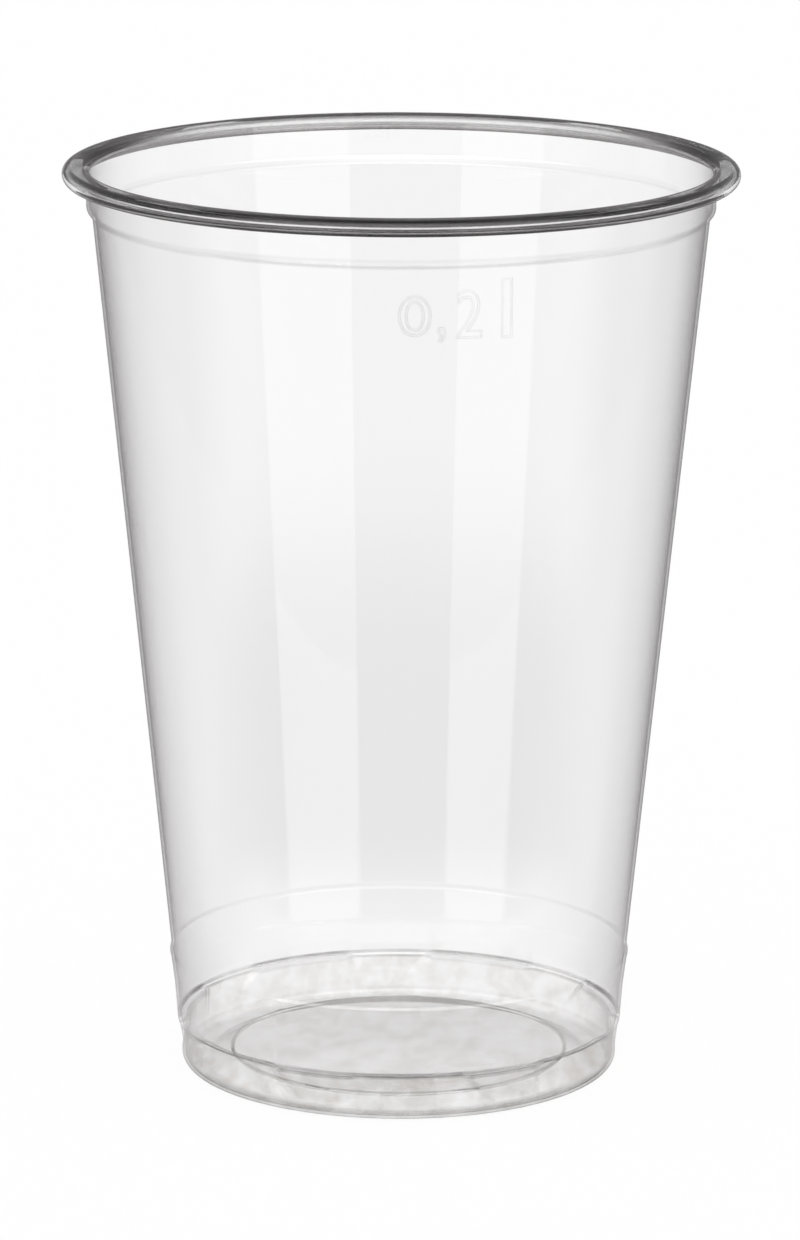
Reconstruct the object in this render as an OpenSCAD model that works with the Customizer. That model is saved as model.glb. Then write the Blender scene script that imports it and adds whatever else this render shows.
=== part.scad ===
// Clear plastic drinking tumbler, formed from one sheet: a tapered wall with a rolled rim,
// a collar and shoulder under the rim, and a stacking ledge with flush lugs above a raised floor.
// The origin is on the axis, on the surface that the cup stands on, and the front is towards -Y.

/* [Overall] */
// Height from the table to the top of the rolled rim
cup_h = 96; // [80:0.5:130]
// Outside diameter over the rolled rim
rim_d = 70; // [64:0.5:90]
// Thickness of the sheet
wall_t = 0.3; // [0.2:0.05:0.4]

/* [Rolled rim] */
// Height of the roll
roll_h = 1.7; // [1.5:0.05:2.6]
// How far the roll stands out from the collar
roll_w = 2.5; // [2.2:0.1:3.4]
// Gap between the tucked lip and the collar
lip_gap = 0.15; // [0.1:0.05:0.4]
// How far the lip turns up inside the roll
lip_h = 0.5; // [0.4:0.05:0.6]

/* [Collar and shoulder] */
// Depth of the collar, from the top of the rim to the foot of the shoulder
collar_h = 5.2; // [4.5:0.1:12]
// How far the wall steps in under the collar
shoulder_step = 0.6; // [0.4:0.05:1.2]
// Height of the sloping shoulder
shoulder_h = 0.7; // [0.6:0.05:1.6]

/* [Band above the base] */
// Height of the ring where the wall meets the steeper band
ring_h = 12.3; // [9:0.1:20]
// Outside diameter of the band at the ring
ring_d = 48.3; // [47.4:0.1:52]
// How far the band stands out from the wall at the ring
ring_step = 0.1; // [0.05:0.01:0.2]

/* [Stacking ledge] */
// Height of the ledge's edge above the table
ledge_h = 4.75; // [4.2:0.05:6]
// Outside diameter at the ledge's edge
ledge_d = 46.9; // [46.4:0.1:47.3]
// How far the skirt lies in under the ledge
ledge_step = 1; // [0.7:0.05:1.1]
// Height of the sloping underside of the ledge
ledge_drop = 0.3; // [0.2:0.05:0.8]

/* [Stacking lugs] */
// Number of flush lugs that break the ledge
lug_n = 7; // [3:1:9]
// Width of a lug at the ledge
lug_w = 9.4; // [7:0.1:11]
// How far a lug's slanting edge runs in by the foot
lug_slant = 3.6; // [1:0.1:5]
// Angle of the first lug's middle, from +X towards +Y
lug_start = -62; // [-180:0.5:180]

/* [Foot and floor] */
// Outside diameter of the foot
foot_d = 46; // [45.6:0.1:46.4]
// Height of the foot's upright side above the table
foot_h = 1.4; // [1.3:0.05:2]
// Rounding of the foot's outer edge
foot_r = 1; // [0.7:0.05:1.2]
// Width of the flat ring that the cup stands on
foot_flat_w = 1.9; // [0.6:0.1:2.4]
// Diameter of the raised floor
floor_d = 35.2; // [20:0.2:36]
// Height of the raised floor's underside above the table
floor_h = 1.1; // [0.6:0.05:2]

/* [Hidden] */
$fn = 96;

// Inside radius of the bend at the lip
lip_bend_r = 0.15;
// Height of the sloping step at the ring
ring_drop = 0.2;

collar_r = rim_d / 2 - roll_w;
shoulder_z = cup_h - collar_h;
roll_in_r = roll_h / 2 - wall_t;
roll_mid_z = cup_h - roll_h / 2;
roll_low_z = cup_h - roll_h;
roll_end_r = rim_d / 2 - roll_h / 2;
lip_r = collar_r + lip_gap + wall_t;
foot_bend_r = foot_d / 2 - foot_r;
foot_in_r = foot_bend_r - foot_flat_w;
skirt_r = ledge_d / 2 - ledge_step;

// The sheet is drawn from paths of [radius, height] along its underside and outside.
// It lies to the left of a path.
floor_path = [
    [0, floor_h],
    [floor_d / 2, floor_h],
    [foot_in_r, 0],
    [foot_bend_r, 0]
];
wall_path = [
    [foot_d / 2, foot_r],
    [foot_d / 2, foot_h],
    [skirt_r, ledge_h - ledge_drop],
    [ledge_d / 2, ledge_h],
    [ring_d / 2, ring_h - ring_drop],
    [ring_d / 2 - ring_step, ring_h],
    [collar_r - shoulder_step, shoulder_z],
    [collar_r, shoulder_z + shoulder_h],
    [collar_r, roll_mid_z]
];
// Corners of the wall path between which the lugs stand
foot_corner = 1;
skirt_corner = 2;
ledge_corner = 3;

function left(v) = [-v[1], v[0]];
function heading(path, i) =
    let (k = max(0, min(i, len(path) - 2)), way = path[k + 1] - path[k])
    way / norm(way);
// Point across the sheet from corner i, where the sheet's far sides meet
function across(path, i) =
    let (u = heading(path, i == 0 ? 0 : i - 1), v = heading(path, i))
    path[i] + (left(u) + left(v)) * wall_t / (1 + u * v);
// Point in the middle of the sheet at corner i
function middle(path, i) = (path[i] + across(path, i)) / 2;

// Outline of the sheet along a path.
module strip(path) {
    last = len(path) - 1;
    polygon(concat(path, [for (i = [last:-1:0]) across(path, i)]));
}

// A quarter of a ring: a bend of the sheet about a centre, on the side [x, z] of it.
module bend(centre, inside, side) {
    reach = inside + 2 * wall_t;
    translate(centre)
        intersection() {
            difference() {
                circle(inside + wall_t);
                circle(inside);
            }
            translate([min(0, side[0] * reach), min(0, side[1] * reach)])
                square(reach);
        }
}

// Outline of the rolled rim: over the top, round the outer edge, and back in to the lip.
module roll() {
    bend([collar_r + roll_in_r, roll_mid_z], roll_in_r, [-1, 1]);
    translate([collar_r + roll_in_r, cup_h - wall_t])
        square([roll_end_r - collar_r - roll_in_r, wall_t]);
    bend([roll_end_r, roll_mid_z], roll_in_r, [1, 1]);
    bend([roll_end_r, roll_mid_z], roll_in_r, [1, -1]);
    translate([lip_r + lip_bend_r, roll_low_z])
        square([roll_end_r - lip_r - lip_bend_r, wall_t]);
    bend([lip_r + lip_bend_r, roll_low_z + wall_t + lip_bend_r], lip_bend_r, [-1, -1]);
    translate([lip_r - wall_t, roll_low_z + wall_t + lip_bend_r])
        square([wall_t, lip_h - lip_bend_r]);
}

// Outline of the whole sheet: floor, foot, wall and rolled rim.
module sheet() {
    strip(floor_path);
    bend([foot_bend_r, foot_r], foot_r - wall_t, [1, -1]);
    strip(wall_path);
    roll();
}

// A lug's outline as seen from outside, pushed through the wall: its left edge slants.
module lug_window(inset, top) {
    lean = lug_slant / (ledge_h - foot_h);
    left_top = -lug_w / 2 + inset * sqrt(1 + lean * lean) - lean * (top - ledge_h);
    left_foot = left_top + lean * top;
    right = lug_w / 2 - inset;
    rotate([90, 0, 90])
        linear_extrude(rim_d / 2)
            polygon([[left_top, top], [right, top], [right, 0], [left_foot, 0]]);
}

module at_lugs() {
    for (i = [0:lug_n - 1])
        rotate([0, 0, lug_start + i * 360 / lug_n])
            children();
}

// Filling under the ledge, out to the lugs' surface.
module lug_bodies() {
    intersection() {
        rotate_extrude()
            polygon([
                wall_path[foot_corner],
                wall_path[ledge_corner],
                middle(wall_path, skirt_corner),
                middle(wall_path, foot_corner)
            ]);
        at_lugs() lug_window(0, ledge_h);
    }
}

// The space inside the lugs, open to the inside of the cup.
module lug_hollows() {
    foot = across(wall_path, foot_corner);
    top = across(wall_path, ledge_corner);
    inner_r = skirt_r - 3 * wall_t;
    intersection() {
        rotate_extrude()
            polygon([foot, top, [inner_r, top[1]], [inner_r, foot[1]]]);
        at_lugs() lug_window(wall_t, top[1]);
    }
}

// The whole cup, one formed sheet.
module cup() {
    color([0.93, 0.94, 0.95, 0.35])
        difference() {
            union() {
                rotate_extrude()
                    sheet();
                lug_bodies();
            }
            lug_hollows();
        }
}

cup();
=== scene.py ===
"""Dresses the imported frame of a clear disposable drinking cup, formed from one sheet of PET.

The origin is on the cup's axis, on the surface that it stands on, and the front is towards -Y.
Sizes are in millimetres and become metres where a mesh is made.
"""

import logging
import math
from collections.abc import Iterable, Sequence
from contextlib import contextmanager
from dataclasses import dataclass
from enum import Enum

import bmesh
import bpy
from mathutils import Matrix, Vector


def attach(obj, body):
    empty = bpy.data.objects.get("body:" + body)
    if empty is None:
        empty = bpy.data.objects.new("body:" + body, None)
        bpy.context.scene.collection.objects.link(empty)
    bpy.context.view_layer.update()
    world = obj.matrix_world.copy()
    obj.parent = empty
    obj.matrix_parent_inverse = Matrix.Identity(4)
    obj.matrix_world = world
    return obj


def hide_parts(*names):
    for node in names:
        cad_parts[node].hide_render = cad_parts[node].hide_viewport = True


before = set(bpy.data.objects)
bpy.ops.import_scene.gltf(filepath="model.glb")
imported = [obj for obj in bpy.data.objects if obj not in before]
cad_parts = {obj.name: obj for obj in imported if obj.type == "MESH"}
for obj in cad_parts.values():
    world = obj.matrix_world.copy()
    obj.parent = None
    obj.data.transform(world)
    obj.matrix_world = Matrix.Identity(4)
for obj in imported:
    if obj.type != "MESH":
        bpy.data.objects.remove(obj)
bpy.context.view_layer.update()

MM = 0.001
# Name of the attribute that holds how much a bend in the sheet bends light away, from 0 to 1
LENS = "lens"
# Name of the vertex group that holds where the sheet keeps its full gauge, from 0 to 1
GAUGE = "gauge"
# Faces that a ray crosses at most where the near wall mirrors it
NEAR_WALL_FACES = 2
log = logging.getLogger("cup")


# Colours and nodes


def linear(colour: str) -> tuple[float, float, float, float]:
    """Turns an sRGB hex colour into the linear colour that a shader takes.

    Args:
        colour: Six hex digits after a hash sign.

    Returns:
        Red, green, blue and an alpha of one.
    """
    channels = [int(colour[i : i + 2], 16) / 255 for i in (1, 3, 5)]
    red, green, blue = (
        c / 12.92 if c <= 0.04045 else ((c + 0.055) / 1.055) ** 2.4 for c in channels
    )
    return red, green, blue, 1.0


def add_node(
    tree: bpy.types.NodeTree,
    kind: str,
    settings: dict[str, object] | None = None,
    values: dict[str, object] | None = None,
    links: dict[str, bpy.types.NodeSocket] | None = None,
) -> bpy.types.Node:
    """Adds one node with its settings, its socket values and what feeds it.

    Args:
        tree: The node tree that the node joins.
        kind: Blender's name for the node.
        settings: Properties of the node itself.
        values: Values of its input sockets, by socket name or place.
        links: Output sockets that feed its inputs, by socket name or place.

    Returns:
        The new node.
    """
    node = tree.nodes.new(kind)
    for name, value in (settings or {}).items():
        setattr(node, name, value)
    for name, value in (values or {}).items():
        node.inputs[name].default_value = value
    for name, source in (links or {}).items():
        tree.links.new(source, node.inputs[name])
    return node


def new_material(name: str) -> bpy.types.Material:
    """Makes an empty node material of that name."""
    material = bpy.data.materials.new(name)
    material.use_nodes = True
    material.node_tree.nodes.clear()
    return material


# Selecting and modelling


@contextmanager
def editing(thing: bpy.types.Object) -> Iterable[None]:
    """Opens one object in edit mode with nothing selected, and closes it again."""
    bpy.ops.object.select_all(action="DESELECT")
    thing.select_set(True)
    bpy.context.view_layer.objects.active = thing
    bpy.ops.object.mode_set(mode="EDIT")
    bpy.ops.mesh.select_mode(type="VERT")
    bpy.ops.mesh.select_all(action="DESELECT")
    yield
    bpy.ops.object.mode_set(mode="OBJECT")


def pick(thing: bpy.types.Object, chosen: Sequence[int]) -> None:
    """Selects these vertices and no others.

    Args:
        thing: The object that is open in edit mode.
        chosen: Index of each vertex.
    """
    mesh = bmesh.from_edit_mesh(thing.data)
    mesh.verts.ensure_lookup_table()
    for vertex in mesh.verts:
        vertex.select = False
    for index in chosen:
        mesh.verts[index].select = True
    mesh.select_flush_mode()
    bmesh.update_edit_mesh(thing.data, loop_triangles=False, destructive=False)


def turn(angle: float) -> None:
    """Turns what is selected about the cup's axis, anticlockwise from above, by radians."""
    # With no window this operator turns the other way.
    bpy.ops.transform.rotate(value=-angle, orient_axis="Z", center_override=(0, 0, 0))


def push_out(factor: float) -> None:
    """Moves what is selected away from the cup's axis by a factor of its radius."""
    bpy.ops.transform.resize(value=(factor, factor, 1), center_override=(0, 0, 0))


def finish_with(thing: bpy.types.Object, kind: str, **settings: object) -> None:
    """Adds a modifier with its settings and applies it.

    Args:
        thing: The object to finish.
        kind: Blender's name for the modifier.
        settings: Properties of the modifier.
    """
    bpy.ops.object.select_all(action="DESELECT")
    thing.select_set(True)
    bpy.context.view_layer.objects.active = thing
    modifier = thing.modifiers.new(kind.title(), kind)
    for name, value in settings.items():
        setattr(modifier, name, value)
    bpy.ops.object.modifier_apply(modifier=modifier.name)


@dataclass(frozen=True)
class Corner:
    """A corner of a path, in millimetres, with the radius that rounds it.

    across and up give its place, steps the number of facets in the rounding, and hold how far
    from the rounding a further point keeps the straight stretch beside it straight. lens is how
    much the rounding bends light away, from 0 to 1, and gauge how far the sheet past the corner
    keeps the full thickness that it had before it was drawn, from 0 to 1.
    """

    across: float
    up: float
    rounding: float = 0.0
    steps: int = 0
    hold: float = 0.0
    lens: float = 0.0
    gauge: float = 0.0


@dataclass(frozen=True)
class Spot:
    """A point of a path, in millimetres, with the lens and the gauge of the sheet there."""

    across: float
    up: float
    lens: float = 0.0
    gauge: float = 0.0


def rounded(corners: Sequence[Corner]) -> list[Spot]:
    """Draws a path through corners, with each one rounded by an arc.

    Args:
        corners: The corners in order. The first and the last are ends, and stay sharp.

    Returns:
        The path's points, each one apart from the next.
    """
    first, last = corners[0], corners[-1]
    spots = [Spot(first.across, first.up, first.lens)]
    for before, corner, after in zip(corners, corners[1:], corners[2:]):
        here = Vector((corner.across, corner.up))
        inwards = (here - Vector((before.across, before.up))).normalized()
        outwards = (Vector((after.across, after.up)) - here).normalized()
        bend = math.atan2(inwards.cross(outwards), inwards.dot(outwards))
        if not corner.rounding:
            spots.append(Spot(here.x, here.y, corner.lens, corner.gauge))
            continue
        reach = corner.rounding * math.tan(abs(bend) / 2)
        start = here - inwards * reach
        side = math.copysign(corner.rounding, bend)
        centre = start + Vector((-inwards.y, inwards.x)) * side
        if corner.hold:
            spots.append(Spot(*(start - inwards * corner.hold), gauge=before.gauge))
        for share in (step / corner.steps for step in range(corner.steps + 1)):
            spoke = start - centre
            spoke.rotate(Matrix.Rotation(bend * share, 2))
            gauge = before.gauge + (corner.gauge - before.gauge) * share
            spots.append(Spot(*(centre + spoke), corner.lens, gauge))
        if corner.hold and not corner.gauge:
            spots.append(Spot(*(here + outwards * (reach + corner.hold))))
    spots.append(Spot(last.across, last.up, last.lens, last.gauge))
    apart = [
        math.dist((here.across, here.up), (there.across, there.up)) > 0.001
        for here, there in zip(spots, spots[1:])
    ]
    return [spot for spot, keep in zip(spots, [*apart, True]) if keep]


def smooth(value: float, span: tuple[float, float]) -> float:
    """Turns smoothly from nothing to one as a value runs over a span.

    Args:
        value: The value.
        span: Where the turn starts and ends.

    Returns:
        The answer, from 0 to 1.
    """
    share = min(1.0, max(0.0, (value - span[0]) / (span[1] - span[0])))
    return share * share * (3 - 2 * share)


# Finishes


@dataclass(frozen=True)
class ClearPet:
    """Clear PET sheet, extruded, chilled on polished rolls and then vacuum formed.

    It gives the eye almost nothing but what its faces mirror: white seen through it stays white
    where it is met square on, and turns grey towards the cup's sides, where it mirrors more.
    A flat stretch lets light straight on, because the sheet is too thin to bend what is seen
    through it. Where the sheet is bent sharply it works as a lens, and draws dark lines.
    """

    name: str = "clear_pet_sheet"
    # The faint grey of virgin PET. Light meets two faces in each wall.
    tint: str = "#FEFEFE"
    # Painted shade: the floor, foot and skirt are tinted a little darker in patches, standing in for the
    # shade under the cup.
    foot_shade: str = "#F8F7F6"
    foot_shade_top: float = 4.6
    gloss: str = "#FFFFFF"
    ior: float = 1.575
    roughness: float = 0.008
    # Drag marks from the plug that pushed the sheet into the mould run up the wall, about 3 mm apart.
    drag_spacing: float = 3.0
    drag_height: float = 0.0006
    # Chill marks from the mould: a slow waviness about 9 mm across.
    wave_spacing: float = 9.0
    wave_height: float = 0.004
    # Low on the cup the sheet touches the mould unevenly in its sharp bends, in patches about
    # 1.5 mm long.
    patch_spacing: float = 2.4
    patch_least: float = 0.7
    patch_top: float = 15.0

    def make(self) -> bpy.types.Material:
        """Builds the material.

        Returns:
            The material, with its patterns on Object coordinates.
        """
        material = new_material(self.name)
        tree = material.node_tree
        place = add_node(tree, "ShaderNodeTexCoord").outputs["Object"]
        along_wall = add_node(
            tree,
            "ShaderNodeMapping",
            values={"Scale": (1, 1, 0.06)},
            links={"Vector": place},
        ).outputs["Vector"]
        drag = add_node(
            tree,
            "ShaderNodeTexNoise",
            values={"Scale": 1 / (self.drag_spacing * MM), "Detail": 2.0, "Roughness": 0.5},
            links={"Vector": along_wall},
        ).outputs["Fac"]
        waves = add_node(
            tree,
            "ShaderNodeTexNoise",
            values={"Scale": 1 / (self.wave_spacing * MM), "Detail": 1.0, "Roughness": 0.4},
            links={"Vector": place},
        ).outputs["Fac"]
        drag_bump = add_node(
            tree,
            "ShaderNodeBump",
            values={"Strength": 1.0, "Distance": self.drag_height * MM},
            links={"Height": drag},
        ).outputs["Normal"]
        surface = add_node(
            tree,
            "ShaderNodeBump",
            values={"Strength": 1.0, "Distance": self.wave_height * MM},
            links={"Height": waves, "Normal": drag_bump},
        ).outputs["Normal"]
        # A ray meets the sheet's inner face at the angle that it had outside, so both faces
        # take the same index: one over it, seen from inside the sheet.
        inside = add_node(tree, "ShaderNodeNewGeometry").outputs["Backfacing"]
        index = add_node(
            tree,
            "ShaderNodeMapRange",
            values={"To Min": self.ior, "To Max": 1 / self.ior},
            links={"Value": inside},
        ).outputs["Result"]
        share = add_node(
            tree, "ShaderNodeFresnel", links={"IOR": index, "Normal": surface}
        ).outputs["Fac"]
        patches = add_node(
            tree,
            "ShaderNodeTexNoise",
            values={"Scale": 1 / (self.patch_spacing * MM), "Detail": 2.0, "Roughness": 0.6},
            links={"Vector": place},
        ).outputs["Fac"]
        height = add_node(tree, "ShaderNodeSeparateXYZ", links={0: place}).outputs["Z"]
        # Painted shade: low on the cup the sheet takes the darker tint, in patches, up to the given top
        # height
        most_foot_shade = add_node(
            tree,
            "ShaderNodeMapRange",
            values={
                "From Min": (self.foot_shade_top - 0.3) * MM,
                "From Max": self.foot_shade_top * MM,
                "To Min": 1.0,
                "To Max": 0.0,
            },
            links={"Value": height},
        ).outputs["Result"]
        foot_shaded = add_node(
            tree,
            "ShaderNodeMapRange",
            values={"From Min": 0.4, "From Max": 0.65},
            links={"Value": patches, "To Max": most_foot_shade},
        ).outputs["Result"]
        tint_and_foot_shade = add_node(
            tree,
            "ShaderNodeMix",
            {"data_type": "RGBA"},
            {6: linear(self.tint), 7: linear(self.foot_shade)},
            {0: foot_shaded},
        ).outputs[2]
        through = add_node(
            tree, "ShaderNodeBsdfTransparent", links={"Color": tint_and_foot_shade}
        ).outputs["BSDF"]
        mirror = add_node(
            tree,
            "ShaderNodeBsdfPrincipled",
            values={
                "Base Color": linear(self.gloss),
                "Metallic": 1.0,
                "Roughness": self.roughness,
            },
            links={"Normal": surface},
        ).outputs["BSDF"]
        flat = add_node(
            tree, "ShaderNodeMixShader", links={0: share, 1: through, 2: mirror}
        ).outputs["Shader"]
        lens = add_node(
            tree,
            "ShaderNodeBsdfPrincipled",
            values={
                "Base Color": linear(self.tint),
                "Roughness": self.roughness,
                "IOR": self.ior,
                "Transmission Weight": 1.0,
            },
            links={"Normal": surface},
        ).outputs["BSDF"]
        bent = add_node(tree, "ShaderNodeAttribute", {"attribute_name": LENS}).outputs["Fac"]
        least = add_node(
            tree,
            "ShaderNodeMapRange",
            values={
                "From Min": self.patch_top * MM,
                "From Max": 2 * self.patch_top * MM,
                "To Min": self.patch_least,
            },
            links={"Value": height},
        ).outputs["Result"]
        evenness = add_node(
            tree,
            "ShaderNodeMapRange",
            values={"From Min": 0.35, "From Max": 0.6},
            links={"Value": patches, "To Min": least},
        ).outputs["Result"]
        bent = add_node(
            tree, "ShaderNodeMath", {"operation": "MULTIPLY"}, links={0: bent, 1: evenness}
        ).outputs["Value"]
        # Light from the lamps passes the bends straight, too, as it does in a real thin sheet.
        lamp = add_node(tree, "ShaderNodeLightPath").outputs["Is Shadow Ray"]
        lens_share = add_node(
            tree,
            "ShaderNodeMath",
            {"operation": "SUBTRACT", "use_clamp": True},
            links={0: bent, 1: lamp},
        ).outputs["Value"]
        sheet = add_node(
            tree, "ShaderNodeMixShader", links={0: lens_share, 1: flat, 2: lens}
        ).outputs["Shader"]
        add_node(tree, "ShaderNodeOutputMaterial", links={"Surface": sheet})
        return material


@dataclass(frozen=True)
class StudioWhite:
    """Matt white laminate of a shooting table, which the camera sees as plain white.

    Camera, mirrored and refracted rays find it white. The rest is lit, so it keeps the shadow.
    """

    name: str = "white_laminate"
    colour: str = "#FAFAFA"
    lit_share: float = 0.08

    def make(self) -> bpy.types.Material:
        """Builds the material.

        Returns:
            The material.
        """
        material = new_material(self.name)
        tree = material.node_tree
        seen = seen_rays(tree)
        glow = add_node(
            tree,
            "ShaderNodeEmission",
            values={"Color": linear("#FFFFFF"), "Strength": 1.0},
        ).outputs["Emission"]
        lit = add_node(
            tree, "ShaderNodeBsdfDiffuse", values={"Color": linear(self.colour)}
        ).outputs["BSDF"]
        share = add_node(
            tree,
            "ShaderNodeMath",
            {"operation": "MULTIPLY"},
            {1: 1 - self.lit_share},
            {0: seen},
        ).outputs["Value"]
        table = add_node(
            tree, "ShaderNodeMixShader", links={0: share, 1: lit, 2: glow}
        ).outputs["Shader"]
        add_node(tree, "ShaderNodeOutputMaterial", links={"Surface": table})
        return material


def seen_rays(tree: bpy.types.NodeTree) -> bpy.types.NodeSocket:
    """Gives one for camera, mirrored and refracted rays, and nothing for the rest.

    Args:
        tree: The node tree that the nodes join.

    Returns:
        The socket with the answer.
    """
    rays = add_node(tree, "ShaderNodeLightPath").outputs
    seen = rays["Is Camera Ray"]
    for other in ("Is Glossy Ray", "Is Transmission Ray"):
        seen = add_node(
            tree,
            "ShaderNodeMath",
            {"operation": "MAXIMUM"},
            links={0: seen, 1: rays[other]},
        ).outputs["Value"]
    return seen


@dataclass(frozen=True)
class CardStock:
    """Card that stands round glassware in a studio, so that its edges are drawn dark.

    It glows, and the light and shade on it are painted into that glow: one brightness behind the cup,
    one beside it, and in front of it dark for painted shade and light for a painted pool of light.
    The painted light lies between two distances from the cup's axis, rises over the first pair and
    falls over the second. A ray that has come through the cup's near wall finds through in front instead,
    which turns into through_far over the distances of through_fades, with painted beams of the soft
    boxes, which start over beam_rises.
    """

    name: str
    dark: float
    light: float
    beside: float
    behind: float
    rises: tuple[float, float] = (0.0, 1.0)
    falls: tuple[float, float] = (9000.0, 9001.0)
    through: float | None = None
    through_far: float = 0.15
    through_fades: tuple[float, float] = (0.0, 1.0)
    beams: tuple["Beam", ...] = ()
    beam_rises: tuple[float, float] = (95.0, 115.0)
    beam_light: float = 1.13
    colour: str = "#FFFBFC"
    # Cosines of the angle from straight behind, between which the sides turn into the back and
    # into the front
    back_turns: tuple[float, float] = (0.55, 0.97)
    front_turns: tuple[float, float] = (0.0, -0.5)

    @staticmethod
    def fade(
        tree: bpy.types.NodeTree,
        source: bpy.types.NodeSocket,
        span: tuple[float, float],
        low: float | bpy.types.NodeSocket = 0.0,
        high: float | bpy.types.NodeSocket = 1.0,
    ) -> bpy.types.NodeSocket:
        """Turns smoothly from low to high as the source runs over a span.

        Args:
            tree: The node tree that the node joins.
            source: The socket that runs over the span.
            span: Where the turn starts and ends.
            low: Value or socket before the turn.
            high: Value or socket after it.

        Returns:
            The socket with the answer.
        """
        ends = {"To Min": low, "To Max": high}
        values = {name: end for name, end in ends.items() if isinstance(end, float)}
        links = {name: end for name, end in ends.items() if name not in values}
        return add_node(
            tree,
            "ShaderNodeMapRange",
            {"interpolation_type": "SMOOTHSTEP"},
            {"From Min": span[0], "From Max": span[1], **values},
            {"Value": source, **links},
        ).outputs["Result"]

    @staticmethod
    def sum_up(
        tree: bpy.types.NodeTree,
        operation: str,
        first: bpy.types.NodeSocket,
        second: float | bpy.types.NodeSocket,
    ) -> bpy.types.NodeSocket:
        """Joins two values by one operation of arithmetic.

        Args:
            tree: The node tree that the node joins.
            operation: Blender's name for the operation.
            first: The first value's socket.
            second: The second value, or its socket.

        Returns:
            The socket with the answer.
        """
        if isinstance(second, float):
            return add_node(
                tree, "ShaderNodeMath", {"operation": operation}, {1: second}, {0: first}
            ).outputs["Value"]
        return add_node(
            tree, "ShaderNodeMath", {"operation": operation}, links={0: first, 1: second}
        ).outputs["Value"]

    def make(self) -> bpy.types.Material:
        """Builds the material.

        Returns:
            The material, with its light on Object coordinates.
        """
        material = new_material(self.name)
        tree = material.node_tree
        object_place = add_node(tree, "ShaderNodeTexCoord").outputs["Object"]
        place = add_node(
            tree,
            "ShaderNodeVectorMath",
            {"operation": "SCALE"},
            {"Scale": 1 / MM},
            {0: object_place},
        ).outputs["Vector"]
        apart = add_node(
            tree, "ShaderNodeVectorMath", {"operation": "LENGTH"}, links={0: place}
        ).outputs["Value"]
        along = add_node(tree, "ShaderNodeSeparateXYZ", links={0: place}).outputs["Y"]
        turned = self.sum_up(tree, "DIVIDE", along, apart)
        risen = self.fade(tree, apart, self.rises)
        ring = self.sum_up(tree, "MULTIPLY", risen, self.fade(tree, apart, self.falls[::-1]))
        front = self.fade(tree, ring, (0.0, 1.0), self.dark, self.light)
        if self.through is not None:
            depth = add_node(tree, "ShaderNodeLightPath").outputs["Transparent Depth"]
            crossed = self.sum_up(tree, "GREATER_THAN", depth, NEAR_WALL_FACES + 0.5)
            through = self.seen_through(tree, place, apart)
            front = self.fade(tree, crossed, (0.0, 1.0), front, through)
        back = self.fade(tree, turned, self.back_turns, self.beside, self.behind)
        strength = self.fade(tree, turned, self.front_turns, back, front)
        glow = add_node(
            tree,
            "ShaderNodeEmission",
            values={"Color": linear(self.colour)},
            links={"Strength": strength},
        ).outputs["Emission"]
        add_node(tree, "ShaderNodeOutputMaterial", links={"Surface": glow})
        return material

    def seen_through(
        self,
        tree: bpy.types.NodeTree,
        place: bpy.types.NodeSocket,
        apart: bpy.types.NodeSocket,
    ) -> bpy.types.NodeSocket:
        """Gives the brightness for a ray that has come through the cup's near wall.

        Args:
            tree: The node tree that the nodes join.
            place: The socket with the point's coordinates.
            apart: The socket with its distance from the cup's axis.

        Returns:
            The socket with the brightness.
        """
        strength = self.fade(tree, apart, self.through_fades, self.through, self.through_far)
        risen = self.fade(tree, apart, self.beam_rises)
        for beam in self.beams:
            inside = self.sum_up(tree, "MULTIPLY", beam.inside(tree, place), risen)
            lit_by = self.sum_up(tree, "MULTIPLY", inside, self.beam_light)
            strength = self.sum_up(tree, "MAXIMUM", strength, lit_by)
        return strength


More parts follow.
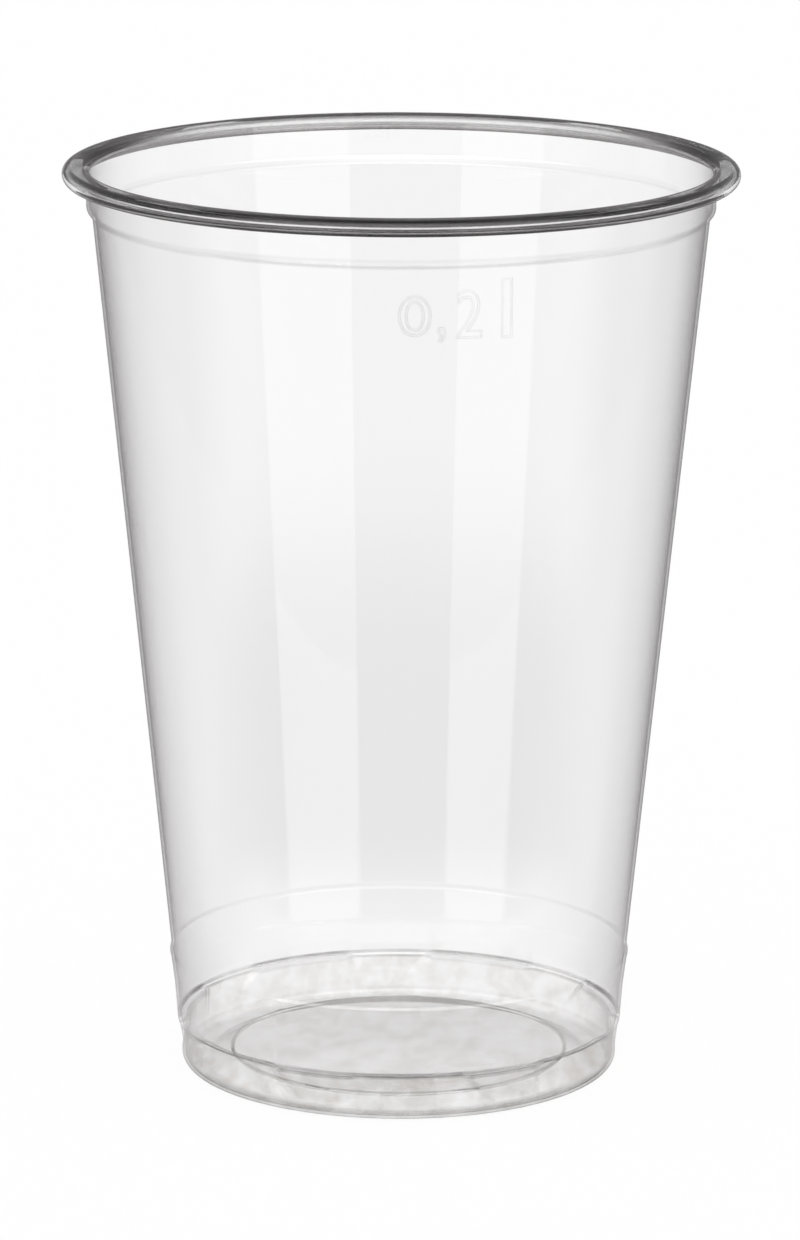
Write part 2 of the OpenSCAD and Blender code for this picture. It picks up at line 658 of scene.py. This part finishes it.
@dataclass(frozen=True)
class Beam:
    """The light of one soft box, between two straight edges as seen from above.

    Each edge is given by where it crosses the X axis, in millimetres, and by its angle in
    degrees from straight in front, to the right. The first edge has the smaller angle.
    """

    first: tuple[float, float]
    second: tuple[float, float]
    softness: float = 7.0
    box_apart: float = 850.0

    def inside(self, tree: bpy.types.NodeTree, place: bpy.types.NodeSocket) -> bpy.types.NodeSocket:
        """Gives one between the edges and nothing outside them.

        Args:
            tree: The node tree that the nodes join.
            place: The socket with the point's coordinates in millimetres.

        Returns:
            The socket with the answer.
        """
        ahead, reach = self.box_plane()
        along = add_node(
            tree, "ShaderNodeVectorMath", {"operation": "DOT_PRODUCT"}, {1: ahead}, {0: place}
        ).outputs["Value"]
        sides = [
            add_node(
                tree, "ShaderNodeMath", {"operation": "LESS_THAN"}, {1: reach}, {0: along}
            ).outputs["Value"]
        ]
        for (crossing, degrees), sign in ((self.first, 1), (self.second, -1)):
            angle = math.radians(degrees)
            across = (sign * math.cos(angle), sign * math.sin(angle), 0)
            apart = add_node(
                tree, "ShaderNodeVectorMath", {"operation": "DOT_PRODUCT"}, {1: across}, {0: place}
            ).outputs["Value"]
            middle = across[0] * crossing
            sides.append(
                add_node(
                    tree,
                    "ShaderNodeMapRange",
                    {"interpolation_type": "SMOOTHSTEP"},
                    {
                        "From Min": middle - self.softness,
                        "From Max": middle + self.softness,
                    },
                    {"Value": apart},
                ).outputs["Result"]
            )
        inside = sides[0]
        for side in sides[1:]:
            inside = add_node(
                tree, "ShaderNodeMath", {"operation": "MULTIPLY"}, links={0: inside, 1: side}
            ).outputs["Value"]
        return inside

    def box_plane(self) -> tuple[Vector, float]:
        """Gives the direction in which the soft box stands, and how far away it is."""
        left, right = self.along(self.first, self.box_apart), self.along(self.second, self.box_apart)
        across = (right - left).normalized()
        ahead = Vector((across.y, -across.x, 0))
        return ahead, ahead.xy.dot(left)

    def along(self, edge: tuple[float, float], way: float) -> Vector:
        """Gives the point that is this far along an edge, in millimetres."""
        crossing, angle = edge[0], math.radians(edge[1])
        return Vector((crossing + way * math.sin(angle), -way * math.cos(angle)))


class SeenBy(Enum):
    """The rays that find a card."""

    MIRRORED = "rays that the cup mirrors"
    REFRACTED = "rays that the cup's bends refract"


# The cup


class Stretch(Enum):
    """The stretches of a sector of the stacking ledge, in order round the cup."""

    GROOVE_BEFORE = "groove before the lug"
    LEFT_EDGE = "slanting left edge of the lug"
    LUG = "flush face of the lug"
    RIGHT_EDGE = "upright right edge of the lug"
    GROOVE_AFTER = "groove after the lug"


@dataclass(frozen=True)
class Column:
    """One upright line of the sector's mesh.

    angle is its place in radians from the lug's middle, flush how far it is pushed out from the
    skirt to the lug's face, and slant how far it follows the lug's slanting edge, both 0 to 1.
    """

    stretch: Stretch
    angle: float
    flush: float
    slant: float


class Lens:
    """How much each kind of bend in the sheet bends light away, from 0 to 1."""

    FLOOR_EDGE = 0.45
    FOOT = 0.12
    SKIRT = 0.25
    LEDGE = 0.9
    LUG_TOP = 0.4
    LUG_EDGE = 0.05
    SHOULDER = 0.13
    RIM = 1.0


@dataclass
class FormedCup:
    """The cup's one formed sheet, from its raised floor to the lip tucked into the rolled rim."""

    finish: ClearPet
    height: float = 96.0
    rim_d: float = 70.0
    sheet: float = 0.3
    # The rolled rim isn't drawn, and keeps more of the sheet's first thickness.
    rim_sheet: float = 0.45
    roll_h: float = 1.7
    roll_w: float = 2.5
    lip_gap: float = 0.15
    lip_h: float = 0.35
    # Painted light: on its far side the roll's lens is weakened, though its shape is the same all round,
    # so its dark lines come out lighter there except at its two edges: how much less in between, from
    # where to where the far side begins, as shares of the radius, and from where to where an edge begins,
    # as shares of half the roll's height.
    far_roll_painted_light: float = 0.85
    # Painted light: how much the lens of the ledge's and floor's bends is weakened on their far side,
    # which makes their dark lines lighter there
    far_bend_painted_light: float = 0.55
    far_side: tuple[float, float] = (0.3, 0.75)
    roll_edge: tuple[float, float] = (0.65, 0.95)
    collar_h: float = 5.2
    shoulder_step: float = 0.6
    shoulder_h: float = 0.7
    ring_h: float = 12.3
    ring_d: float = 48.3
    ring_step: float = 0.1
    ring_drop: float = 0.2
    # The ring stands this far out from the band below it.
    ring_bead: float = 0.12
    ledge_h: float = 4.75
    ledge_d: float = 46.9
    ledge_step: float = 1.0
    ledge_drop: float = 0.3
    lug_n: int = 7
    lug_w: float = 9.4
    lug_slant: float = 3.6
    lug_start: float = -62.0
    # A lug's side walls lean back this far from the skirt, with large roundings, and its face
    # lies in by a hair under the ledge, which draws the ledge's line across it.
    lug_wall_angle: float = 50.0
    lug_foot_bend: float = 0.6
    lug_face_bend: float = 0.9
    lug_set_in: float = 0.1
    foot_d: float = 46.0
    foot_h: float = 1.4
    foot_r: float = 1.0
    foot_flat_w: float = 1.9
    floor_d: float = 35.2
    floor_h: float = 1.1
    # Roundings: the small one is on the side where the sheet bends away from its outer face,
    # and the large one, which leaves room for the sheet's thickness, where it bends towards it.
    small_bend: float = 0.15
    large_bend: float = 0.4
    # Those of the ring's bead and of the wall's foot above it
    bead_bend: float = 0.32
    fine_bend: float = 0.1
    shoulder_bend: float = 0.8
    lens: type[Lens] = Lens
    groove_columns: int = 9
    lug_columns: int = 7
    wall_rows: int = 8

    @property
    def collar_r(self) -> float:
        """Outside radius of the collar."""
        return self.rim_d / 2 - self.roll_w

    @property
    def shoulder_z(self) -> float:
        """Height of the foot of the shoulder."""
        return self.height - self.collar_h

    def corners(self) -> list[Corner]:
        """Gives the corners of the sheet's underside and outside, from the axis to the lip.

        Returns:
            The corners, each with its rounding.
        """
        small, large, hold, lens = self.small_bend, self.large_bend, 0.2, self.lens
        bead, fine = self.bead_bend, self.fine_bend
        flat_out = self.foot_d / 2 - self.foot_r
        skirt_r = self.ledge_d / 2 - self.ledge_step
        skirt_z = self.ledge_h - self.ledge_drop
        wall_foot = (self.ring_d / 2 - self.ring_step, self.ring_h + self.ring_drop)
        wall_top = (self.collar_r - self.shoulder_step, self.shoulder_z)
        roll_r = self.rim_d / 2 - self.rim_sheet
        roll_top = self.height - self.rim_sheet
        roll_low = self.height - self.roll_h + self.rim_sheet
        inside = self.roll_h / 2 - self.rim_sheet
        lip_r = self.collar_r + self.lip_gap + self.rim_sheet
        floor = [Corner(r, self.floor_h) for r in (0, 3, 7, 11, 14.5)]
        skirt = [
            Corner(*self.between((self.foot_d / 2, self.foot_h), (skirt_r, skirt_z), share))
            for share in (0.3, 0.6)
        ]
        wall = [
            Corner(*self.between(wall_foot, wall_top, row / self.wall_rows))
            for row in range(1, self.wall_rows)
        ]
        return [
            *floor,
            Corner(self.floor_d / 2, self.floor_h, small, 3, hold, lens.FLOOR_EDGE),
            Corner(flat_out - self.foot_flat_w, 0, large, 4, hold),
            Corner(self.foot_d / 2, 0, self.foot_r, 10, 0.1, lens.FOOT),
            Corner(self.foot_d / 2, self.foot_h, large, 2, 0.1),
            *skirt,
            Corner(skirt_r, skirt_z, small, 6, 0.12, lens.SKIRT),
            Corner(self.ledge_d / 2, self.ledge_h, large, 6, 0.12, lens.LEDGE),
            Corner(*self.between((self.ledge_d / 2, self.ledge_h), wall_foot, 0.5)),
            Corner(self.ring_d / 2, self.ring_h - 3 * self.ring_drop, large, 3, 0.1),
            Corner(self.ring_d / 2 + self.ring_bead, self.ring_h - self.ring_drop, bead, 5),
            Corner(*wall_foot, fine, 3, 0.1),
            *wall,
            Corner(*wall_top, small, 4, hold, lens.SHOULDER),
            Corner(self.collar_r, self.shoulder_z + self.shoulder_h, self.shoulder_bend, 6, hold),
            Corner(self.collar_r, roll_top, inside, 8, hold, lens.RIM, 1),
            Corner(roll_r, roll_top, inside, 8, 0, lens.RIM, 1),
            Corner(roll_r, roll_low, inside, 8, 0, lens.RIM, 1),
            Corner(lip_r, roll_low, small, 5, 0, lens.RIM, 1),
            Corner(lip_r, roll_low + self.lip_h, lens=lens.RIM, gauge=1),
        ]

    @staticmethod
    def between(
        start: tuple[float, float], end: tuple[float, float], share: float
    ) -> tuple[float, float]:
        """Gives the point that is this share of the way from start to end."""
        return tuple(a + (b - a) * share for a, b in zip(start, end))

    def flush_r(self, z: float) -> float:
        """Gives the outside radius of a lug and of the band above it at this height."""
        foot = (self.foot_d / 2, self.foot_h)
        edge = (self.ledge_d / 2, self.ledge_h)
        ring = (self.ring_d / 2, self.ring_h - self.ring_drop)
        low, high = (foot, edge) if z < self.ledge_h else (edge, ring)
        return low[0] + (high[0] - low[0]) * (z - low[1]) / (high[1] - low[1])

    def edge_wall(self) -> list[Spot]:
        """Draws the side wall of a lug from the groove up to the lug's face.

        Returns:
            For each line of the mesh, its place in millimetres about the edge as across, and
            its share of the way up.
        """
        lean = self.ledge_step / math.tan(math.radians(self.lug_wall_angle))
        foot = Corner(-lean / 2, 0, self.lug_foot_bend, 4)
        face = Corner(lean / 2, 1, self.lug_face_bend, 5)
        return rounded([Corner(-lean - 1, 0), foot, face, Corner(lean + 1, 1)])[1:-1]

    def columns(self) -> list[Column]:
        """Lays out the upright lines of one sector, from groove to groove past one lug.

        Returns:
            The columns in order, anticlockwise from above.
        """
        edge_r = self.ledge_d / 2
        half_sector, half_lug = math.pi / self.lug_n, self.lug_w / 2 / edge_r
        wall = self.edge_wall()
        left = [
            Column(Stretch.LEFT_EDGE, spot.across / edge_r - half_lug, spot.up, 1) for spot in wall
        ]
        right = [
            Column(Stretch.RIGHT_EDGE, half_lug - spot.across / edge_r, spot.up, 0)
            for spot in reversed(wall)
        ]
        steps = range(1, self.lug_columns)
        lug = []
        for share in (step / self.lug_columns for step in steps):
            angle = left[-1].angle + (right[0].angle - left[-1].angle) * share
            lug.append(Column(Stretch.LUG, angle, 1, 1 - share))
        before, after = [], []
        for share in (step / self.groove_columns for step in range(self.groove_columns)):
            angle = -half_sector + (left[0].angle + half_sector) * share
            before.append(Column(Stretch.GROOVE_BEFORE, angle, 0, share))
            angle = half_sector + (right[-1].angle - half_sector) * share
            after.append(Column(Stretch.GROOVE_AFTER, angle, 0, 0))
        return [*before, *left, *lug, *right, *reversed(after)]

    def draw_section(self, path: Sequence[Spot]) -> bpy.types.Object:
        """Draws the sheet's underside and outside as a line in the XZ plane.

        Args:
            path: The line's points, with the radius across and the height up.

        Returns:
            The new object, which is one string of edges.
        """
        start = (path[0].across * MM, 0, path[0].up * MM)
        bpy.ops.object.select_all(action="DESELECT")
        bpy.ops.mesh.primitive_plane_add(size=self.sheet * MM, location=start)
        cup = bpy.context.object
        cup.name = cup.data.name = "formed_cup"
        bpy.ops.object.transform_apply(location=True)
        with editing(cup):
            bpy.ops.mesh.select_all(action="SELECT")
            bpy.ops.mesh.merge(type="CENTER")
            for here, there in zip(path, path[1:]):
                step = ((there.across - here.across) * MM, 0, (there.up - here.up) * MM)
                bpy.ops.mesh.extrude_region_move(TRANSFORM_OT_translate={"value": step})
        return cup

    def spin_sector(self, cup: bpy.types.Object, columns: Sequence[Column]) -> None:
        """Spins the section through one sector, a column at a time.

        Args:
            cup: The section's object.
            columns: The sector's columns.
        """
        with editing(cup):
            bpy.ops.mesh.select_all(action="SELECT")
            for here, there in zip(columns, columns[1:]):
                bpy.ops.mesh.spin(
                    steps=1, angle=here.angle - there.angle, center=(0, 0, 0), axis=(0, 0, 1)
                )

    def vertex_grid(
        self, cup: bpy.types.Object, path: Sequence[Spot], columns: Sequence[Column]
    ) -> dict[tuple[int, int], int]:
        """Finds the vertex at each row and column of the sector.

        Args:
            cup: The sector's object.
            path: The section's points, one for each row.
            columns: The sector's columns.

        Returns:
            The vertex's index by row and column, without those on the axis.
        """
        grid = {}
        for vertex in cup.data.vertices:
            x, y, z = vertex.co / MM
            radius, angle = math.hypot(x, y), math.atan2(y, x) + columns[0].angle
            if radius < self.sheet:
                continue
            row = min(
                range(len(path)), key=lambda i: math.hypot(path[i].across - radius, path[i].up - z)
            )
            column = min(range(len(columns)), key=lambda i: abs(columns[i].angle - angle))
            grid[row, column] = vertex.index
        return grid

    def mark_lenses(
        self,
        cup: bpy.types.Object,
        path: Sequence[Spot],
        columns: Sequence[Column],
        grid: dict[tuple[int, int], int],
    ) -> None:
        """Notes at each vertex how much the sheet bends light away, for the finish to read.

        Args:
            cup: The sector's object.
            path: The section's points, one for each row.
            columns: The sector's columns.
            grid: The vertex at each row and column.
        """
        group = cup.vertex_groups.new(name=LENS)
        gauge = cup.vertex_groups.new(name=GAUGE)
        for (row, place), index in grid.items():
            spot, column = path[row], columns[place]
            in_ledge = self.foot_h < spot.up < self.ledge_h + 2 * self.large_bend
            lens = spot.lens
            if in_ledge and spot.across > self.floor_d / 2:
                on_edge = 4 * column.flush * (1 - column.flush)
                lens = spot.lens * (1 - column.flush) + self.lens.LUG_EDGE * on_edge
                if spot.lens:
                    lens += self.lens.LUG_TOP * column.flush
            group.add([index], min(1.0, lens), "REPLACE")
            gauge.add([index], spot.gauge, "REPLACE")

    def shape_lug(
        self,
        cup: bpy.types.Object,
        path: Sequence[Spot],
        columns: Sequence[Column],
        grid: dict[tuple[int, int], int],
    ) -> None:
        """Pushes the lug out of the skirt, flush with the wall, and slants its left edge.

        Args:
            cup: The sector's object.
            path: The section's points, one for each row.
            columns: The sector's columns.
            grid: The vertex at each row and column.
        """
        with editing(cup):
            for row, spot in enumerate(path):
                radius, z = spot.across, spot.up
                if not 0 < z < self.ledge_h + 2 * self.large_bend or radius < self.floor_d / 2:
                    continue
                below = min(1.0, z / self.foot_h)
                run = self.lug_slant * below * min(1.0, (self.ledge_h - z) / (self.ledge_h - self.foot_h))
                set_in = self.lug_set_in * min(1.0, max(0.0, (self.ledge_h - z) / self.ledge_drop))
                out = (self.flush_r(z) - set_in) / radius - 1 if z > self.foot_h + 0.5 else 0
                for place, column in enumerate(columns):
                    if run > 0 and column.slant:
                        pick(cup, [grid[row, place]])
                        turn(column.slant * run / (self.ledge_d / 2))
                    if out > 0 and column.flush:
                        pick(cup, [grid[row, place]])
                        push_out(1 + out * column.flush)

    def close_round(self, cup: bpy.types.Object) -> None:
        """Repeats the sector round the axis, joins the seams and turns the faces outwards.

        Args:
            cup: The sector's object.
        """
        with editing(cup):
            bpy.ops.mesh.select_all(action="SELECT")
            bpy.ops.mesh.spin(
                steps=self.lug_n - 1,
                dupli=True,
                angle=-2 * math.pi * (self.lug_n - 1) / self.lug_n,
                center=(0, 0, 0),
                axis=(0, 0, 1),
            )
            bpy.ops.mesh.select_all(action="SELECT")
            bpy.ops.mesh.remove_doubles(threshold=0.002 * MM)
            bpy.ops.mesh.normals_make_consistent(inside=False)
            turn(math.radians(self.lug_start) - math.pi / self.lug_n)
        lowest = min(cup.data.polygons, key=lambda face: face.center.xy.length)
        if lowest.normal.z > 0:
            with editing(cup):
                bpy.ops.mesh.select_all(action="SELECT")
                bpy.ops.mesh.flip_normals()

    def build(self) -> bpy.types.Object:
        """Models the cup.

        Returns:
            The finished sheet, with its thickness.
        """
        path = rounded(self.corners())
        columns = self.columns()
        cup = self.draw_section(path)
        self.spin_sector(cup, columns)
        grid = self.vertex_grid(cup, path, columns)
        self.mark_lenses(cup, path, columns, grid)
        self.shape_lug(cup, path, columns, grid)
        self.close_round(cup)
        finish_with(
            cup,
            "SOLIDIFY",
            thickness=self.rim_sheet * MM,
            vertex_group=GAUGE,
            thickness_vertex_group=self.sheet / self.rim_sheet,
            offset=-1,
            use_even_offset=True,
            use_quality_normals=True,
            use_rim=True,
        )
        bpy.ops.object.shade_smooth_by_angle(angle=math.radians(35))
        self.keep_lenses(cup)
        return cup

    def roll_share(self, place: Vector) -> float:
        """Gives how much of its lens the roll keeps at a place on its far side.

        Args:
            place: The place, in metres.

        Returns:
            The share: one on the near side, and little in the middle of the roll on the far side.
        """
        # Painted light: the far side's lens is weakened, which lightens the roll's dark lines there.
        half = self.roll_h / 2
        off_middle = abs(place.z / MM - self.height + half) / half
        far = smooth(2 * place.y / MM / self.rim_d, self.far_side)
        return 1 - self.far_roll_painted_light * far * (1 - smooth(off_middle, self.roll_edge))

    def keep_lenses(self, cup: bpy.types.Object) -> None:
        """Turns the notes on bent light into an attribute, which a material can read.

        Args:
            cup: The finished sheet.
        """
        group = cup.vertex_groups[LENS]
        shares = [
            next((mark.weight for mark in vertex.groups if mark.group == group.index), 0.0)
            for vertex in cup.data.vertices
        ]
        cup.vertex_groups.clear()
        # Painted light: on the cup's far side the lens is weakened, so the dark lines of the roll, ledge
        # and floor come out lighter there.
        for vertex in cup.data.vertices:
            if vertex.co.z > (self.height - self.roll_h) * MM:
                shares[vertex.index] *= self.roll_share(vertex.co)
            else:
                far = smooth(2 * vertex.co.y / MM / self.ledge_d, self.far_side)
                shares[vertex.index] *= 1 - self.far_bend_painted_light * far
        lens = cup.data.attributes.new(LENS, "FLOAT", "POINT")
        lens.data.foreach_set("value", shares)

    def dress(self, cup: bpy.types.Object) -> None:
        """Gives the cup its finish and its place in the frame.

        Args:
            cup: The finished sheet.
        """
        cup.data.materials.clear()
        cup.data.materials.append(self.finish.make())
        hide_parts("cup")
        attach(cup, "root")
        log.info("%s: %d faces", cup.name, len(cup.data.polygons))


@dataclass(frozen=True)
class Figure:
    """One figure on the wall, with the box that it fills as seen from the front, in millimetres."""

    reads: str
    left: float
    foot: float
    width: float
    height: float


@dataclass
class CapacityFigures:
    """The cup's capacity in figures, whose outlines stand out from the wall as fine ridges."""

    figures: tuple[Figure, ...] = (
        Figure("0", -0.15, 83.9, 3.05, 3.95),
        Figure(",", 3.75, 83.2, 0.65, 1.4),
        Figure("2", 5.6, 83.6, 2.4, 4.8),
        Figure("l", 10.1, 83.5, 0.9, 5.9),
    )
    # The ridges are rods laid into the wall so deep that only a low, wide back stands out.
    ridge_r: float = 0.14
    ridge_sunk: float = 0.1
    wall_r: float = 31.3
    lens: float = 0.0
    # How far in front of the cup's axis the figures are drawn, before they are laid on the wall
    stand_off: float = 60.0

    def outline(self, figure: Figure) -> bpy.types.Object:
        """Draws one figure's outline upright in front of the cup.

        Args:
            figure: The figure and the box that it fills.

        Returns:
            The new object, which is a mesh of edges.
        """
        bpy.ops.object.select_all(action="DESELECT")
        bpy.ops.object.text_add(location=(0, 0, 0))
        text = bpy.context.object
        text.data.body = figure.reads
        text.data.fill_mode = "NONE"
        bpy.ops.object.convert(target="MESH")
        text = bpy.context.object
        spots = [vertex.co for vertex in text.data.vertices]
        low = Vector([min(spot[axis] for spot in spots) for axis in range(3)])
        high = Vector([max(spot[axis] for spot in spots) for axis in range(3)])
        across = figure.width * MM / (high.x - low.x)
        up = figure.height * MM / (high.y - low.y)
        text.scale = (across, up, 1)
        text.location = (-low.x * across, -low.y * up, 0)
        bpy.ops.object.transform_apply()
        text.rotation_euler = (math.radians(90), 0, 0)
        text.location = (figure.left * MM, -self.stand_off * MM, figure.foot * MM)
        bpy.ops.object.transform_apply()
        return text

    def build(self, cup: bpy.types.Object) -> None:
        """Models the ridges on the cup's wall and makes them part of its mesh.

        Args:
            cup: The finished sheet.
        """
        for figure in self.figures:
            ridge = self.outline(figure)
            finish_with(
                ridge,
                "SHRINKWRAP",
                wrap_method="PROJECT",
                use_project_y=True,
                use_negative_direction=False,
                target=cup,
            )
            bpy.ops.object.convert(target="CURVE")
            ridge = bpy.context.object
            ridge.data.bevel_depth = self.ridge_r * MM
            ridge.data.bevel_resolution = 1
            bpy.ops.object.convert(target="MESH")
            ridge = bpy.context.object
            with editing(ridge):
                bpy.ops.mesh.select_all(action="SELECT")
                bpy.ops.mesh.remove_doubles(threshold=0.002 * MM)
                bpy.ops.mesh.normals_make_consistent(inside=False)
                push_out(1 - self.ridge_sunk / self.wall_r)
            lens = ridge.data.attributes.new(LENS, "FLOAT", "POINT")
            lens.data.foreach_set("value", [self.lens] * len(ridge.data.vertices))
            bpy.ops.object.shade_smooth()
            cup.select_set(True)
            bpy.context.view_layer.objects.active = cup
            bpy.ops.object.join()
        log.info("%s: figures raised", cup.name)


# The studio

RIGHT_BEAM = Beam((4.6, 19.3), (23.7, 57.8))
LEFT_BEAM = Beam((-21.1, -55.2), (-5.7, -23.2))


@dataclass
class Studio:
    """White table, soft light, grey cards and the camera."""

    table_w: float = 6000.0
    # Each round card with its radius and the heights of its edges
    round_cards: tuple[tuple[CardStock, SeenBy, float, float, float], ...] = (
        (
            CardStock("grey_card_round", 0.15, 0.15, 0.4, 0.3),
            SeenBy.MIRRORED,
            900.0,
            0.0,
            500.0,
        ),
        (
            CardStock("white_card_high", 1.1, 1.1, 0.5, 0.25),
            SeenBy.MIRRORED,
            890.0,
            200.0,
            500.0,
        ),
        (CardStock("black_card_round", 0.0, 0.0, 0.0, 0.0), SeenBy.REFRACTED, 900.0, 0.0, 500.0),
    )
    # Each level card with its radius and height
    level_cards: tuple[tuple[CardStock, SeenBy, float, float], ...] = (
        # Painted light and shade: dark near the cup, a painted pool of light from 110 to 225 mm out, and
        # painted beams of the soft boxes for rays seen through the near wall
        (
            CardStock(
                "grey_card_below",
                0.03,
                1.15,
                0.55,
                0.27,
                rises=(110.0, 225.0),
                through=0.15,
                beams=(RIGHT_BEAM, LEFT_BEAM),
                beam_rises=(30.0, 60.0),
            ),
            SeenBy.MIRRORED,
            900.0,
            -0.012,
        ),
        # Painted shadow of the cup's foot within 25 to 33 mm of the axis, then a painted pool of light
        # that fades out from 62 to 95 mm
        (
            CardStock(
                "white_card_below",
                0.03,
                0.9,
                0.55,
                0.27,
                rises=(25.0, 33.0),
                falls=(62.0, 95.0),
                through=1.0,
                through_fades=(60.0, 118.0),
                beams=(RIGHT_BEAM, LEFT_BEAM),
                beam_rises=(30.0, 60.0),
            ),
            SeenBy.MIRRORED,
            120.0,
            -0.01,
        ),
        (
            CardStock("black_card_below", 0.0, 0.0, 0.0, 0.0),
            SeenBy.REFRACTED,
            300.0,
            -0.01,
        ),
        # Glows at up to 2.4, brighter than white, as a lamp for the cup to mirror: a painted pool of
        # light in front that rises from 350 to 550 mm out
        (
            CardStock("white_card_above", 0.3, 2.4, 0.3, 0.3, rises=(350.0, 550.0)),
            SeenBy.MIRRORED,
            900.0,
            499.0,
        ),
        (CardStock("black_card_above", 0.0, 0.0, 0.0, 0.0), SeenBy.REFRACTED, 900.0, 498.0),
    )
    box_h: float = 260.0
    box_brightness: float = 0.65
    room_light: float = 1.0
    camera_y: float = -675.73
    camera_z: float = 207.1
    camera_pitch: float = 13.277
    camera_roll: float = 0.176
    lens: float = 192.35
    sensor: float = 36.0

    def lay_table(self) -> None:
        """Lays the white table under the cup."""
        bpy.ops.mesh.primitive_plane_add(size=self.table_w * MM, location=(0, 0, -0.02 * MM))
        table = bpy.context.object
        table.name = "white_table"
        table.data.materials.append(StudioWhite().make())

    def place_card(self, card: bpy.types.Object, stock: CardStock, seen_by: SeenBy) -> None:
        """Gives a card its stock, and shows it to one kind of ray only.

        Args:
            card: The card.
            stock: What it is made of.
            seen_by: The rays that find it.
        """
        card.name = stock.name
        bpy.ops.object.transform_apply(location=True)
        card.data.materials.append(stock.make())
        card.visible_camera = card.visible_diffuse = card.visible_shadow = False
        card.visible_volume_scatter = False
        card.visible_glossy = seen_by is SeenBy.MIRRORED
        card.visible_transmission = seen_by is SeenBy.REFRACTED

    def stand_cards(self) -> None:
        """Stands card all round the cup, and lays it above and below."""
        for stock, seen_by, radius, low, high in self.round_cards:
            bpy.ops.mesh.primitive_cylinder_add(
                vertices=96,
                radius=radius * MM,
                depth=(high - low) * MM,
                end_fill_type="NOTHING",
                location=(0, 0, (low + high) / 2 * MM),
            )
            self.place_card(bpy.context.object, stock, seen_by)
        for stock, seen_by, radius, height in self.level_cards:
            bpy.ops.mesh.primitive_circle_add(
                vertices=96,
                radius=radius * MM,
                fill_type="NGON",
                location=(0, 0, height * MM),
            )
            self.place_card(bpy.context.object, stock, seen_by)

    def hang_box(self, name: str, beam: Beam) -> None:
        """Hangs one soft box across its beam.

        Args:
            name: The lamp's name.
            beam: The light that it gives.
        """
        left = beam.along(beam.first, beam.box_apart) * MM
        right = beam.along(beam.second, beam.box_apart) * MM
        across, middle, height = right - left, (left + right) / 2, self.box_h * MM
        bpy.ops.object.light_add(type="AREA", location=(middle.x, middle.y, height / 2))
        lamp = bpy.context.object
        lamp.name = name
        lamp.rotation_euler = (math.radians(90), 0, math.atan2(across.y, across.x))
        lamp.data.shape = "RECTANGLE"
        lamp.data.size, lamp.data.size_y = across.length, height
        lamp.data.energy = math.pi * across.length * height * self.box_brightness
        lamp.visible_camera = False

    def fill_room(self) -> None:
        """Surrounds everything with soft white light."""
        world = bpy.data.worlds.new("white_room")
        bpy.context.scene.world = world
        world.use_nodes = True
        tree = world.node_tree
        tree.nodes.clear()
        strength = add_node(
            tree,
            "ShaderNodeMapRange",
            values={"To Min": self.room_light, "To Max": 1.0},
            links={"Value": seen_rays(tree)},
        ).outputs["Result"]
        room = add_node(
            tree,
            "ShaderNodeBackground",
            values={"Color": linear("#FFFFFF")},
            links={"Strength": strength},
        ).outputs["Background"]
        add_node(tree, "ShaderNodeOutputWorld", links={"Surface": room})

    def set_camera(self) -> None:
        """Puts the camera where the photograph was taken from."""
        bpy.ops.object.camera_add()
        camera = bpy.context.object
        camera.name = "photo_camera"
        camera.data.sensor_width = self.sensor
        camera.data.lens = self.lens
        camera.data.clip_start, camera.data.clip_end = 0.01, 20
        look = Matrix.Rotation(math.radians(90 - self.camera_pitch), 4, "X")
        lean = Matrix.Rotation(math.radians(self.camera_roll), 4, "Z")
        place = Matrix.Translation((0, self.camera_y * MM, self.camera_z * MM))
        camera.matrix_world = place @ look @ lean
        bpy.context.scene.camera = camera

    def set_up(self) -> None:
        """Sets the whole studio up, and lets a ray pass all the sheets at the rim."""
        scene = bpy.context.scene
        scene.view_settings.view_transform = "Standard"
        scene.cycles.transparent_max_bounces = 36
        scene.cycles.max_bounces = 9
        scene.cycles.glossy_bounces = 5
        scene.cycles.transmission_bounces = 8
        self.lay_table()
        self.stand_cards()
        self.hang_box("right_soft_box", RIGHT_BEAM)
        self.hang_box("left_soft_box", LEFT_BEAM)
        self.fill_room()
        self.set_camera()


def main() -> None:
    """Builds the cup and the studio, in order."""
    logging.basicConfig(level=logging.INFO, format="%(name)s: %(message)s")
    sheet = FormedCup(ClearPet())
    cup = sheet.build()
    CapacityFigures().build(cup)
    sheet.dress(cup)
    Studio().set_up()


if __name__ == "__main__":
    main()
